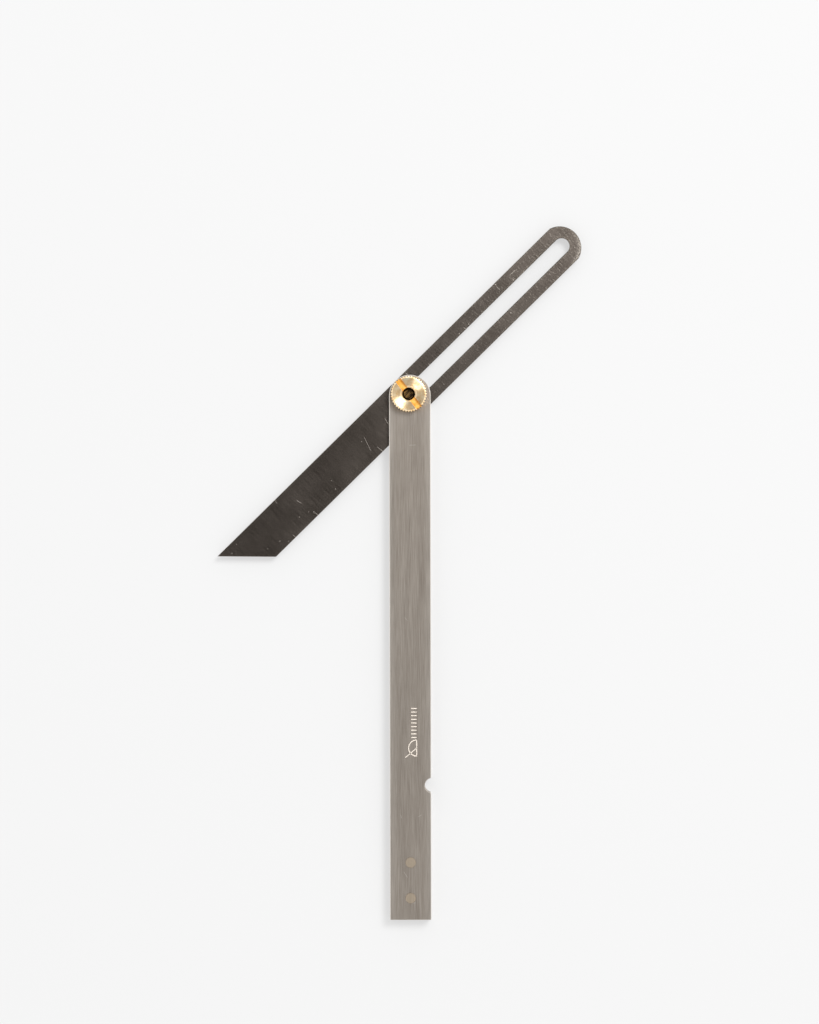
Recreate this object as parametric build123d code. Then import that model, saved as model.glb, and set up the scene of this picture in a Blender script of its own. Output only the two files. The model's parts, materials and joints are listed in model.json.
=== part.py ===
from build123d import *
import math
import os

# A sliding bevel. Two flat steel plates make the handle, with a gap between them for a slotted
# steel blade. One clamp bolt and a knurled brass thumb nut let the blade swing and slide, and
# then hold it at an angle.
#
# The origin is on the axis of the clamp bolt, in the plane of the back plate's outer face.
# +Z runs along the bolt towards the nut, and the handle reaches down -Y from its round end.
# All sizes are in millimetres, and all angles in degrees.

# Handle
HANDLE_LENGTH = 263.0
HANDLE_WIDTH = 20.0
PLATE_THICKNESS = 2.5
PLATE_GAP = 2.2
PLATE_EDGE_BREAK = 0.25

# Thumb notch in the handle's right edge, where a finger pushes out the folded blade
NOTCH_RADIUS = 3.7
NOTCH_OUTSIDE_EDGE = 0.6
NOTCH_BELOW_END_CENTRE = 188.2
NOTCH_CORNER_RADIUS = 0.6

# Spacer that closes the gap at the square end, and the rivets through it
SPACER_LONG_SIDE = 53.3
RIVET_HEIGHTS = {"upper_rivet": 27.7, "lower_rivet": 10.5}
RIVET_HEAD_RADIUS = 2.6
RIVET_SHANK_RADIUS = 2.0
RIVET_RIM_RADIUS = 2.48

# Blade, with its cut tip at the lower end when it is folded into the handle
BLADE_LENGTH = 233.0
BLADE_WIDTH = 20.0
BLADE_THICKNESS = 2.0
BLADE_EDGE_BREAK = 0.15
BLADE_END_RADIUS = 10.5
CUT_ANGLE = 45.0
SLOT_WIDTH = 7.67
SLOT_LENGTH = 116.8
SLOT_END_WALL = 5.25

# Where the blade stands at rest: its turn out of the handle, and how far its tip reaches
BLADE_TURN = 45.5
TIP_REACH = 120.75

# Clamp bolt. It is slimmer than the slot, and lies against the wall on the slot's long side.
BOLT_PLAY = 0.8
HEAD_RADIUS = 6.5
NECK_RADIUS = 4.5
NECK_ACROSS_FLATS = 6.0
THREAD_RADIUS = 3.0
BOLT_LENGTH = 11.2
BOLT_POINT_CHAMFER = 0.6
RUNNING_CLEARANCE = 0.05

# Washer and thumb nut
WASHER_RADIUS = 7.4
WASHER_THICKNESS = 0.8
NUT_RADIUS = 8.75
NUT_HEIGHT = 4.6
NUT_BASE_CHAMFER = 0.3
NUT_SHOULDER_WIDTH = 1.0
NUT_SHOULDER_DROP = 0.5
KNURL_TEETH = 40
KNURL_DEPTH = 0.7
NUT_LAND_INNER_RADIUS = 7.5
NUT_FLOOR_RADIUS = 5.2
NUT_RECESS_DEPTH = 0.15
NUT_MOUTH_RADIUS = 3.9
SCREW_SLOT_WIDTH = 2.9
SCREW_SLOT_DEPTH = 1.5
SCREW_SLOT_ANGLE = 127.5

# Heights of the layers above the back face
GAP_BOTTOM = PLATE_THICKNESS
GAP_TOP = GAP_BOTTOM + PLATE_GAP
HANDLE_TOP = GAP_TOP + PLATE_THICKNESS
BLADE_BOTTOM = GAP_BOTTOM + (PLATE_GAP - BLADE_THICKNESS) / 2
NECK_TOP = GAP_TOP - RUNNING_CLEARANCE
NUT_BOTTOM = HANDLE_TOP + WASHER_THICKNESS
NUT_TOP = NUT_BOTTOM + NUT_HEIGHT
BORE_RADIUS = THREAD_RADIUS + RUNNING_CLEARANCE

# The round end is centred on the blade's centreline, so the bolt stands off it by the play
END_CENTRE_X = BOLT_PLAY * math.cos(math.radians(BLADE_TURN))
END_CENTRE_Y = -BOLT_PLAY * math.sin(math.radians(BLADE_TURN))
SQUARE_END_Y = END_CENTRE_Y + HANDLE_WIDTH / 2 - HANDLE_LENGTH
RIGHT_EDGE_X = END_CENTRE_X + HANDLE_WIDTH / 2

FOLDED_TO_REST = Rot(0, 0, -BLADE_TURN)


def layer(outline, bottom, thickness):
    """A flat outline made into a plate whose lower face is at the given height."""
    return Pos(0, 0, bottom) * extrude(outline, amount=thickness)


def break_edges(plate, amount):
    """A plate with the edges of its lowest and highest faces chamfered."""
    faces = plate.faces().sort_by(Axis.Z)
    return chamfer(faces[0].edges() + faces[-1].edges(), amount)


def turned(points):
    """A closed outline of (radius, height) points, spun round the Z axis."""
    return revolve(Plane.XZ * make_face(Polyline(*points, close=True)), Axis.Z)


def rod(radius, bottom, top):
    """A plain round bar between two heights."""
    return layer(Circle(radius), bottom, top - bottom)


def handle_outline():
    """One plate from the front: round end, square end and thumb notch."""
    straight = HANDLE_LENGTH - HANDLE_WIDTH / 2
    bar = Pos(END_CENTRE_X, END_CENTRE_Y - straight / 2) * Rectangle(HANDLE_WIDTH, straight)
    round_end = Pos(END_CENTRE_X, END_CENTRE_Y) * Circle(HANDLE_WIDTH / 2)
    notch = Pos(RIGHT_EDGE_X + NOTCH_OUTSIDE_EDGE, END_CENTRE_Y - NOTCH_BELOW_END_CENTRE)
    outline = bar + round_end - notch * Circle(NOTCH_RADIUS)
    notch_corners = outline.vertices().sort_by_distance(notch.position)[:2]
    return fillet(notch_corners, NOTCH_CORNER_RADIUS)


def rivet_holes():
    """The space of each rivet, by name: a shank hole, countersunk in both outer faces."""
    cone = RIVET_HEAD_RADIUS - RIVET_SHANK_RADIUS
    hole = turned(
        [
            (0, 0),
            (RIVET_HEAD_RADIUS, 0),
            (RIVET_SHANK_RADIUS, cone),
            (RIVET_SHANK_RADIUS, HANDLE_TOP - cone),
            (RIVET_HEAD_RADIUS, HANDLE_TOP),
            (0, HANDLE_TOP),
        ]
    )
    return {
        name: Pos(END_CENTRE_X, SQUARE_END_Y + height) * hole
        for name, height in RIVET_HEIGHTS.items()
    }


def rivet(name):
    """A rivet that fills its hole but for a fine ring at each face, ground flush."""
    rim = Pos(END_CENTRE_X, SQUARE_END_Y + RIVET_HEIGHTS[name])
    return rivet_holes()[name] & (rim * rod(RIVET_RIM_RADIUS, 0, HANDLE_TOP))


def bolt_head(clearance):
    """The bolt's countersunk head and the round neck that turns in the back plate."""
    return turned(
        [
            (0, 0),
            (HEAD_RADIUS + clearance, 0),
            (NECK_RADIUS + clearance, HEAD_RADIUS - NECK_RADIUS),
            (NECK_RADIUS + clearance, GAP_BOTTOM),
            (0, GAP_BOTTOM),
        ]
    )


def handle_plate(bottom, bore):
    """A plate of the handle, with its edges broken and its rivet holes and pivot bore cut."""
    plate = break_edges(layer(handle_outline(), bottom, PLATE_THICKNESS), PLATE_EDGE_BREAK)
    for hole in rivet_holes().values():
        plate -= hole
    return plate - bore


def end_spacer():
    """The block in the gap at the square end, its top cut to match the folded blade's tip."""
    left = RIGHT_EDGE_X - HANDLE_WIDTH
    rise = HANDLE_WIDTH * math.tan(math.radians(CUT_ANGLE))
    top_right = SQUARE_END_Y + SPACER_LONG_SIDE
    outline = make_face(
        Polyline(
            (left, SQUARE_END_Y),
            (RIGHT_EDGE_X, SQUARE_END_Y),
            (RIGHT_EDGE_X, top_right),
            (left, top_right - rise),
            close=True,
        )
    )
    spacer = layer(outline, GAP_BOTTOM, PLATE_GAP)
    for hole in rivet_holes().values():
        spacer -= hole
    return spacer


def blade():
    """The slotted blade, drawn folded down the handle and then turned out to its rest angle."""
    left = BOLT_PLAY - BLADE_WIDTH / 2
    right = BOLT_PLAY + BLADE_WIDTH / 2
    rise = BLADE_WIDTH * math.tan(math.radians(CUT_ANGLE))
    round_top = BLADE_LENGTH - TIP_REACH
    round_centre = round_top - BLADE_END_RADIUS
    bar = make_face(
        Polyline(
            (left, -TIP_REACH),
            (right, rise - TIP_REACH),
            (right, round_centre),
            (left, round_centre),
            close=True,
        )
    )
    end_strip = Rectangle(BLADE_WIDTH, 2 * BLADE_END_RADIUS)
    round_end = Pos(BOLT_PLAY, round_centre) * (Circle(BLADE_END_RADIUS) & end_strip)
    slot_middle = round_top - SLOT_END_WALL - SLOT_LENGTH / 2
    slot = Pos(BOLT_PLAY, slot_middle) * Rot(0, 0, 90) * SlotOverall(SLOT_LENGTH, SLOT_WIDTH)
    plate = layer(bar + round_end - slot, BLADE_BOTTOM, BLADE_THICKNESS)
    return FOLDED_TO_REST * break_edges(plate, BLADE_EDGE_BREAK)


def pivot_bolt():
    """The clamp bolt: flush head, round neck, a flatted neck in the blade's slot, and thread."""
    flatted = Circle(NECK_RADIUS) & Rectangle(NECK_ACROSS_FLATS, 2 * NECK_RADIUS)
    neck = FOLDED_TO_REST * layer(flatted, GAP_BOTTOM, NECK_TOP - GAP_BOTTOM)
    thread = turned(
        [
            (0, NECK_TOP),
            (THREAD_RADIUS, NECK_TOP),
            (THREAD_RADIUS, BOLT_LENGTH - BOLT_POINT_CHAMFER),
            (THREAD_RADIUS - BOLT_POINT_CHAMFER, BOLT_LENGTH),
            (0, BOLT_LENGTH),
        ]
    )
    return bolt_head(0) + neck + thread


def clamp_washer():
    """The flat washer under the nut."""
    ring = rod(WASHER_RADIUS, HANDLE_TOP, NUT_BOTTOM)
    return break_edges(ring, BLADE_EDGE_BREAK) - rod(BORE_RADIUS, HANDLE_TOP, NUT_BOTTOM)


def knurl_outline():
    """The nut from the front: a ring of straight V teeth."""
    half_tooth = 180 / KNURL_TEETH
    radii = (NUT_RADIUS, NUT_RADIUS - KNURL_DEPTH)
    corners = [
        Vector(radii[step % 2], 0).rotate(Axis.Z, step * half_tooth)
        for step in range(2 * KNURL_TEETH)
    ]
    return make_face(Polyline(*corners, close=True))


def clamp_nut():
    """The thumb nut: knurled rim, dished face, countersunk bore and a slot for a screwdriver."""
    floor = NUT_TOP - NUT_RECESS_DEPTH
    form = turned(
        [
            (BORE_RADIUS, NUT_BOTTOM),
            (NUT_RADIUS - NUT_BASE_CHAMFER, NUT_BOTTOM),
            (NUT_RADIUS, NUT_BOTTOM + NUT_BASE_CHAMFER),
            (NUT_RADIUS, NUT_TOP - NUT_SHOULDER_DROP),
            (NUT_RADIUS - NUT_SHOULDER_WIDTH, NUT_TOP),
            (NUT_LAND_INNER_RADIUS, NUT_TOP),
            (NUT_FLOOR_RADIUS, floor),
            (NUT_MOUTH_RADIUS, floor),
            (BORE_RADIUS, floor - NUT_MOUTH_RADIUS + BORE_RADIUS),
        ]
    )
    slot_outline = Rot(0, 0, SCREW_SLOT_ANGLE) * Rectangle(3 * NUT_RADIUS, SCREW_SLOT_WIDTH)
    slot = layer(slot_outline, NUT_TOP - SCREW_SLOT_DEPTH, 2 * SCREW_SLOT_DEPTH)
    return (form & layer(knurl_outline(), NUT_BOTTOM, NUT_HEIGHT)) - slot


def sub_parts():
    """Every separate piece of the tool, by the name of its node."""
    pieces = {
        "back_plate": handle_plate(0, bolt_head(RUNNING_CLEARANCE)),
        "front_plate": handle_plate(GAP_TOP, rod(BORE_RADIUS, GAP_TOP, HANDLE_TOP)),
        "end_spacer": end_spacer(),
        "blade": blade(),
        "pivot_bolt": pivot_bolt(),
        "clamp_washer": clamp_washer(),
        "clamp_nut": clamp_nut(),
    }
    for name in RIVET_HEIGHTS:
        pieces[name] = rivet(name)
    return pieces


os.makedirs("parts", exist_ok=True)
for node, piece in sub_parts().items():
    export_step(piece, f"parts/{node}.step")
    print(node, "volume", round(piece.volume, 1), "mm3")
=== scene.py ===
# %% [markdown]
# # Dressing a sliding bevel
#
# The tool is a flat steel handle, a slotted steel blade and a brass thumb nut. Its design comes
# packed as a frame: every part in its place, in metres, with the joints that move it. This lesson
# adds what the design leaves out, which is how each surface was made and how it has worn.
#
# Flat polished metal has almost no colour of its own. It shows the room. So the order is the
# camera first, then the light, then the finishes, and then the few pieces that deserve a finer
# mesh than the design gives them: the thumb nut and the etched mark.

# %% Load the frame
import bpy
import json
import math
from mathutils import Euler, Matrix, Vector


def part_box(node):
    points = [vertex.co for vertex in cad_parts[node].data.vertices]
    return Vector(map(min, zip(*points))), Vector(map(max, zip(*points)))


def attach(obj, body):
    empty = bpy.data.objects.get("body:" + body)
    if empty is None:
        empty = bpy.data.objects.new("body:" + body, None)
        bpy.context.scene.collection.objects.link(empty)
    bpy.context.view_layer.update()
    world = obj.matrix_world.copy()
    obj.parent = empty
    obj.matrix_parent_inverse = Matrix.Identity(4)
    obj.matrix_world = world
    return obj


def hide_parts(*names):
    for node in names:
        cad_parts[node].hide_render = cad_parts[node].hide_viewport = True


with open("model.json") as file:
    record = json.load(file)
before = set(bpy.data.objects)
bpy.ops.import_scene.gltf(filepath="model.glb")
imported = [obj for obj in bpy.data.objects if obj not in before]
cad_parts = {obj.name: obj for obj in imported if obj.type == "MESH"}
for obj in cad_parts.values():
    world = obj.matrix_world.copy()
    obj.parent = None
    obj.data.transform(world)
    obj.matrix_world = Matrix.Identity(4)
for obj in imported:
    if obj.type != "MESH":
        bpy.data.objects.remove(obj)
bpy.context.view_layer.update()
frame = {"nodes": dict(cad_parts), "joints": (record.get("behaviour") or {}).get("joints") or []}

print("nodes:", sorted(frame["nodes"]))

# %% [markdown]
# ## Units and places
#
# The frame is in metres, and a maker thinks in millimetres, so one factor turns one into the
# other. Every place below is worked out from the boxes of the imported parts. The blade lies at a
# slant, and its own direction is the axis of the joint that it slides along.

# %% Sizes read from the frame
MM = 0.001

plate_low, plate_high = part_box("front_plate")
nut_low, nut_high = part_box("clamp_nut")
slide_axis = next(joint["axis"] for joint in frame["joints"] if joint["name"] == "blade_slide")

handle_x = (plate_low.x + plate_high.x) / 2
handle_width = plate_high.x - plate_low.x
handle_top = plate_high.z
round_end_y = plate_high.y - handle_width / 2
blade_turn = math.atan2(slide_axis[1], slide_axis[0]) + math.pi / 2
blade_down = Vector(slide_axis)
print("handle", round(handle_width / MM, 2), "mm wide, blade turned", math.degrees(blade_turn))

# %% [markdown]
# ## Two small helpers
#
# Colours are written as the hex values that a paint chart gives. The renderer wants linear light,
# so one function turns them. A second one adds a node to a tree: it sets the node's properties,
# fills its sockets, and links a socket wherever the value it is given is another node's output.

# %% Helpers
def linear(hex_colour):
    """An sRGB hex colour as linear red, green, blue and alpha."""
    channels = [int(hex_colour[start : start + 2], 16) / 255 for start in (1, 3, 5)]
    return (
        *[c / 12.92 if c <= 0.04045 else ((c + 0.055) / 1.055) ** 2.4 for c in channels],
        1.0,
    )


def add(tree, kind, sockets=None, **settings):
    """A new node with its settings, its socket values and its incoming links."""
    node = tree.nodes.new(kind)
    for name, value in settings.items():
        setattr(node, name, value)
    for key, value in (sockets or {}).items():
        if isinstance(value, bpy.types.NodeSocket):
            tree.links.new(value, node.inputs[key])
        else:
            node.inputs[key].default_value = value
    return node


print("a mid grey is", [round(c, 3) for c in linear("#808080")])

# %% [markdown]
# ## Camera
#
# The tool lies flat and is looked at from straight above, as in a catalogue. A long lens from
# over a metre away keeps the sides of the plates hidden, and leaves just enough perspective for
# the nut to stand up. The camera is rolled a tenth of a degree, because nobody lays a tool down
# dead straight.

# %% Camera
LENS_MM = 85.0
SENSOR_MM = 36.0
VIEW_HEIGHT = 494.0 * MM
CAMERA_BESIDE_HANDLE = -0.25 * MM
CAMERA_BELOW_ROUND_END = 56.2 * MM
CAMERA_ROLL = 0.1

camera = bpy.data.objects.new("camera", bpy.data.cameras.new("camera"))
bpy.context.scene.collection.objects.link(camera)
camera.data.lens = LENS_MM
camera.data.sensor_width = SENSOR_MM
camera_height = VIEW_HEIGHT * LENS_MM / SENSOR_MM
camera.location = (
    handle_x + CAMERA_BESIDE_HANDLE,
    round_end_y - CAMERA_BELOW_ROUND_END,
    handle_top + camera_height,
)
camera.rotation_euler = (0, 0, math.radians(-CAMERA_ROLL))
bpy.context.scene.camera = camera
print("camera", round(camera.location.z, 3), "m above the floor")

# %% [markdown]
# ## Light
#
# The paper is almost white, so plenty of light falls from all sides. The blade is almost black,
# so what it mirrors, the ceiling just round the camera, has to be dark. Both come from one sky:
# bright all round, with one dark patch overhead. The patch is an oval, a little longer along the
# handle than across it, and it fades out slowly. One soft lamp from the upper right draws the
# thin shadows on the other side.

# %% Sky
SKY_BRIGHT = 1.2
SKY_DARK = 0.03
PATCH_MIDDLE = (-0.11, 0.0, 0.0)
PATCH_TURN = 10.0
PATCH_STRETCH = 1.4
PATCH_INNER = 0.12
PATCH_OUTER = 0.40

scene = bpy.context.scene
scene.view_settings.view_transform = "Standard"
world = bpy.data.worlds.new("studio")
scene.world = world
world.use_nodes = True
sky = world.node_tree
sky.nodes.clear()
direction = add(sky, "ShaderNodeTexCoord").outputs["Generated"]
from_middle = add(
    sky, "ShaderNodeVectorMath", {0: direction, 1: PATCH_MIDDLE}, operation="SUBTRACT"
).outputs[0]
turned_back = add(
    sky,
    "ShaderNodeVectorRotate",
    {"Vector": from_middle, "Angle": math.radians(-PATCH_TURN)},
    rotation_type="Z_AXIS",
).outputs[0]
squeezed = add(
    sky,
    "ShaderNodeVectorMath",
    {0: turned_back, 1: (1.0, 1.0 / PATCH_STRETCH, 0.0)},
    operation="MULTIPLY",
).outputs[0]
brightness = add(
    sky,
    "ShaderNodeMapRange",
    {
        "Value": add(
            sky, "ShaderNodeVectorMath", {0: squeezed}, operation="LENGTH"
        ).outputs["Value"],
        "From Min": PATCH_INNER,
        "From Max": PATCH_OUTER,
        "To Min": SKY_DARK,
        "To Max": SKY_BRIGHT,
    },
    interpolation_type="SMOOTHSTEP",
).outputs["Result"]
background = add(
    sky, "ShaderNodeBackground", {"Color": linear("#ffffff"), "Strength": brightness}
)
add(sky, "ShaderNodeOutputWorld", {"Surface": background.outputs[0]})
print("sky from", SKY_DARK, "overhead to", SKY_BRIGHT, "at the sides")

# %% Soft lamp
LAMP_PLACE = Vector((1.4, 1.6, 2.9))
LAMP_SIZE = (1.4, 1.4)
LAMP_WATTS = 125.0

lamp = bpy.data.objects.new("soft_lamp", bpy.data.lights.new("soft_lamp", "AREA"))
scene.collection.objects.link(lamp)
lamp.data.shape = "RECTANGLE"
lamp.data.size, lamp.data.size_y = LAMP_SIZE
lamp.data.energy = LAMP_WATTS
lamp.location = LAMP_PLACE
lamp.rotation_euler = (-LAMP_PLACE).to_track_quat("-Z", "Y").to_euler()
print("lamp", round(LAMP_PLACE.length, 2), "m away")

# %% [markdown]
# ## Paper
#
# The tool lies on a sheet of smooth white card. Card scatters light evenly, with a very faint
# tooth. In a white room light keeps bouncing back onto it from the walls, which thins every
# shadow. A card of mid grey with an even glow of its own gives that: the glow sets how light a
# shadow stays, and the grey how much the lamp adds. It is part of the studio and not of the tool.

# %% Paper
PAPER_HALF_SIZE = 4.0
PAPER_BELOW_TOOL = 0.05 * MM
PAPER_TOOTH = 0.6 * MM
PAPER_GREY = "#828282"
PAPER_GLOW = 0.528

paper_mesh = bpy.data.meshes.new("paper")
corner = PAPER_HALF_SIZE
paper_mesh.from_pydata(
    [
        (-corner, -corner, -PAPER_BELOW_TOOL),
        (corner, -corner, -PAPER_BELOW_TOOL),
        (corner, corner, -PAPER_BELOW_TOOL),
        (-corner, corner, -PAPER_BELOW_TOOL),
    ],
    [],
    [(0, 1, 2, 3)],
)
paper = bpy.data.objects.new("paper", paper_mesh)
scene.collection.objects.link(paper)
card = bpy.data.materials.new("white_card")
card.use_nodes = True
tree = card.node_tree
tree.nodes.clear()
place = add(tree, "ShaderNodeTexCoord").outputs["Object"]
tooth = add(
    tree, "ShaderNodeTexNoise", {"Vector": place, "Scale": 1 / PAPER_TOOTH, "Detail": 3.0}
)
bump = add(
    tree,
    "ShaderNodeBump",
    {"Strength": 0.05, "Distance": 0.02 * MM, "Height": tooth.outputs["Fac"]},
)
shader = add(
    tree,
    "ShaderNodeBsdfPrincipled",
    {
        "Base Color": linear(PAPER_GREY),
        "Roughness": 0.9,
        "Specular IOR Level": 0.1,
        "Normal": bump.outputs["Normal"],
        "Emission Color": linear("#ffffff"),
        "Emission Strength": PAPER_GLOW,
    },
)
add(tree, "ShaderNodeOutputMaterial", {"Surface": shader.outputs[0]})
paper_mesh.materials.append(card)
print("paper", 2 * PAPER_HALF_SIZE, "m square")

# %% [markdown]
# ## Marks that every steel tool collects
#
# A scratch is a short straight line at a place of its own. A cell pattern scatters the places:
# each cell hands over its centre and three random numbers. They pick how the scratch leans, how
# long it is, and whether this cell has one at all. What is left is the distance from a line.

# %% Scratches
def scratches(tree, place_mm, cell, length, width, lean, wander, share):
    """A mask of straight scratches, at most one to a cell. Sizes in mm, angles in radians."""
    cells = add(
        tree,
        "ShaderNodeTexVoronoi",
        {"Vector": place_mm, "Scale": 1 / cell, "Randomness": 1.0},
        voronoi_dimensions="2D",
    )
    chance = add(tree, "ShaderNodeSeparateColor", {0: cells.outputs["Color"]}).outputs
    offset = add(
        tree,
        "ShaderNodeVectorMath",
        {0: place_mm, 1: cells.outputs["Position"]},
        operation="SUBTRACT",
    ).outputs[0]
    angle = add(
        tree,
        "ShaderNodeMapRange",
        {"Value": chance[0], "To Min": lean - wander / 2, "To Max": lean + wander / 2},
    ).outputs[0]
    line = add(
        tree,
        "ShaderNodeVectorRotate",
        {"Vector": (1.0, 0.0, 0.0), "Angle": angle},
        rotation_type="Z_AXIS",
    ).outputs[0]
    along = add(tree, "ShaderNodeVectorMath", {0: offset, 1: line}, operation="DOT_PRODUCT")
    across = add(tree, "ShaderNodeVectorMath", {0: offset, 1: line}, operation="CROSS_PRODUCT")
    from_line = add(tree, "ShaderNodeVectorMath", {0: across.outputs[0]}, operation="LENGTH")
    from_middle = add(tree, "ShaderNodeMath", {0: along.outputs["Value"]}, operation="ABSOLUTE")
    reach = add(
        tree,
        "ShaderNodeMapRange",
        {"Value": chance[1], "To Min": 0.2 * length, "To Max": 0.5 * length},
    ).outputs[0]
    inside = add(
        tree, "ShaderNodeMath", {0: reach, 1: from_middle.outputs[0]}, operation="SUBTRACT"
    )
    ends = add(
        tree, "ShaderNodeMapRange", {"Value": inside.outputs[0], "From Max": 0.15 * length}
    ).outputs[0]
    thin = add(
        tree,
        "ShaderNodeMapRange",
        {
            "Value": from_line.outputs["Value"],
            "From Min": 0.5 * width,
            "From Max": 0.15 * width,
        },
    ).outputs[0]
    chosen = add(
        tree, "ShaderNodeMath", {0: chance[2], 1: share}, operation="LESS_THAN"
    ).outputs[0]
    line_mask = add(tree, "ShaderNodeMath", {0: thin, 1: ends}, operation="MULTIPLY").outputs[0]
    return add(
        tree, "ShaderNodeMath", {0: line_mask, 1: chosen}, operation="MULTIPLY"
    ).outputs[0]


def new_material(name):
    """An empty node material, and its tree."""
    material = bpy.data.materials.new(name)
    material.use_nodes = True
    material.node_tree.nodes.clear()
    return material, material.node_tree


def wear(node_name, material):
    """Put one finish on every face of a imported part."""
    part = frame["nodes"][node_name]
    for slot in part.material_slots:
        slot.material = material
    if not part.material_slots:
        part.data.materials.append(material)
    print(node_name, "wears", material.name)


print("finishes can go on", len(frame["nodes"]), "packed parts")

# %% [markdown]
# ## Handle: satin stainless steel
#
# The two plates are cold-rolled stainless steel, drawn lengthwise under a fine abrasive belt. The
# belt leaves thousands of shallow grooves along the plate. Grooves throw light sideways, across
# their own direction, so the plate looks evenly grey from above and its tone drifts only slowly
# down its length. That is an anisotropic reflection: the tangent points across the grain, and the
# highlight is stretched along the tangent.
#
# The belt's real grooves are about 0.05 mm apart. They are drawn 0.28 mm apart so that they show.
# Handling has rubbed the last few millimetres before the edge a little paler, and a pale line is
# painted at the corner itself, a painted highlight of the edge break.

# %% Satin stainless steel
GRAIN_WIDTH = 0.28
GRAIN_LENGTH = 14.0
BAND_WIDTH = 3.0
BAND_LENGTH = 60.0
# The wide paler band is rubbed wear; the thin pale line at the corner is a painted highlight.
EDGE_HIGHLIGHT_START = 0.45
EDGE_HIGHLIGHT_END = 0.2
RUBBED_START = 3.5
RUBBED_END = 0.3


def satin_steel(name, dark, light, roughness):
    """Belt-ground stainless steel with its grain along Y."""
    material, tree = new_material(name)
    place = add(tree, "ShaderNodeTexCoord").outputs["Object"]
    grain = add(
        tree,
        "ShaderNodeTexNoise",
        {
            "Vector": add(
                tree,
                "ShaderNodeMapping",
                {
                    "Vector": place,
                    "Scale": (1 / (GRAIN_WIDTH * MM), 1 / (GRAIN_LENGTH * MM), 1 / MM),
                },
            ).outputs[0],
            "Scale": 1.0,
            "Detail": 4.0,
            "Roughness": 0.65,
        },
    ).outputs["Fac"]
    bands = add(
        tree,
        "ShaderNodeTexNoise",
        {
            "Vector": add(
                tree,
                "ShaderNodeMapping",
                {
                    "Vector": place,
                    "Scale": (1 / (BAND_WIDTH * MM), 1 / (BAND_LENGTH * MM), 1 / MM),
                },
            ).outputs[0],
            "Scale": 1.0,
            "Detail": 2.0,
        },
    ).outputs["Fac"]
    streak = add(
        tree, "ShaderNodeMix", {0: 0.25, 2: grain, 3: bands}, data_type="FLOAT"
    ).outputs[0]
    tone = add(
        tree, "ShaderNodeMapRange", {"Value": streak, "From Min": 0.31, "From Max": 0.69}
    ).outputs[0]
    place_mm = add(
        tree, "ShaderNodeMapping", {"Vector": place, "Scale": (1 / MM, 1 / MM, 0)}
    ).outputs[0]
    marks = scratches(
        tree, place_mm, cell=19.0, length=4.5, width=0.24, lean=1.1, wander=2.6, share=0.4
    )
    from_end = add(
        tree,
        "ShaderNodeVectorMath",
        {0: place, 1: (handle_x, round_end_y, 0.0)},
        operation="SUBTRACT",
    ).outputs[0]
    split = add(tree, "ShaderNodeSeparateXYZ", {0: from_end}).outputs
    past_end = add(tree, "ShaderNodeMath", {0: split[1], 1: 0.0}, operation="MAXIMUM").outputs[0]
    off_line = add(
        tree,
        "ShaderNodeVectorMath",
        {0: add(tree, "ShaderNodeCombineXYZ", {0: split[0], 1: past_end}).outputs[0]},
        operation="LENGTH",
    ).outputs["Value"]
    # Painted highlight: a pale line along the very edge of the plate, where the edge break would
    # catch the light.
    painted_edge_highlight = add(
        tree,
        "ShaderNodeMapRange",
        {
            "Value": off_line,
            "From Min": handle_width / 2 - EDGE_HIGHLIGHT_START * MM,
            "From Max": handle_width / 2 - EDGE_HIGHLIGHT_END * MM,
        },
    ).outputs[0]
    # A wider band of rubbed wear, a little paler towards the edge.
    rubbed_and_sheen = add(
        tree,
        "ShaderNodeMapRange",
        {
            "Value": off_line,
            "From Min": handle_width / 2 - RUBBED_START * MM,
            "From Max": handle_width / 2 - RUBBED_END * MM,
        },
    ).outputs[0]
    ground = add(
        tree,
        "ShaderNodeMix",
        {0: tone, 6: linear(dark), 7: linear(light)},
        data_type="RGBA",
    ).outputs[2]
    marks_share = add(
        tree, "ShaderNodeMath", {0: marks, 1: 0.45}, operation="MULTIPLY"
    ).outputs[0]
    colour = add(
        tree,
        "ShaderNodeMix",
        {0: marks_share, 6: ground, 7: linear("#efe9e2")},
        data_type="RGBA",
    ).outputs[2]
    for mask, share in ((rubbed_and_sheen, 0.12), (painted_edge_highlight, 0.7)):
        colour = add(
            tree,
            "ShaderNodeMix",
            {
                0: add(
                    tree, "ShaderNodeMath", {0: mask, 1: share}, operation="MULTIPLY"
                ).outputs[0],
                6: colour,
                7: linear("#f0ebe4"),
            },
            data_type="RGBA",
        ).outputs[2]
    gloss = add(
        tree,
        "ShaderNodeMapRange",
        {"Value": streak, "To Min": roughness - 0.06, "To Max": roughness + 0.06},
    ).outputs[0]
    grooves = add(
        tree,
        "ShaderNodeBump",
        {"Strength": 0.12, "Distance": 0.02 * MM, "Height": grain},
    ).outputs[0]
    tangent = add(
        tree,
        "ShaderNodeVectorTransform",
        {0: (1.0, 0.0, 0.0)},
        vector_type="VECTOR",
        convert_from="OBJECT",
        convert_to="WORLD",
    ).outputs[0]
    shader = add(
        tree,
        "ShaderNodeBsdfPrincipled",
        {
            "Base Color": colour,
            "Metallic": 1.0,
            "Roughness": gloss,
            "Normal": grooves,
            "Anisotropic": 0.75,
            "Tangent": tangent,
        },
    )
    add(tree, "ShaderNodeOutputMaterial", {"Surface": shader.outputs[0]})
    return material


handle_steel = satin_steel("satin_stainless_steel", "#93897f", "#b9b0a6", 0.37)
for node_name in ("front_plate", "back_plate"):
    wear(node_name, handle_steel)

# %% [markdown]
# ## Rivets and spacer
#
# The rivets are softer steel, set into countersinks and ground flush with the plates in the same
# pass. A softer metal smears under the belt, so the heads look a little warmer and smoother.

# %% Ground rivets
rivet_steel = satin_steel("ground_mild_steel", "#a89a88", "#beaf9c", 0.42)
for node_name in ("upper_rivet", "lower_rivet", "end_spacer"):
    wear(node_name, rivet_steel)
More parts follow.
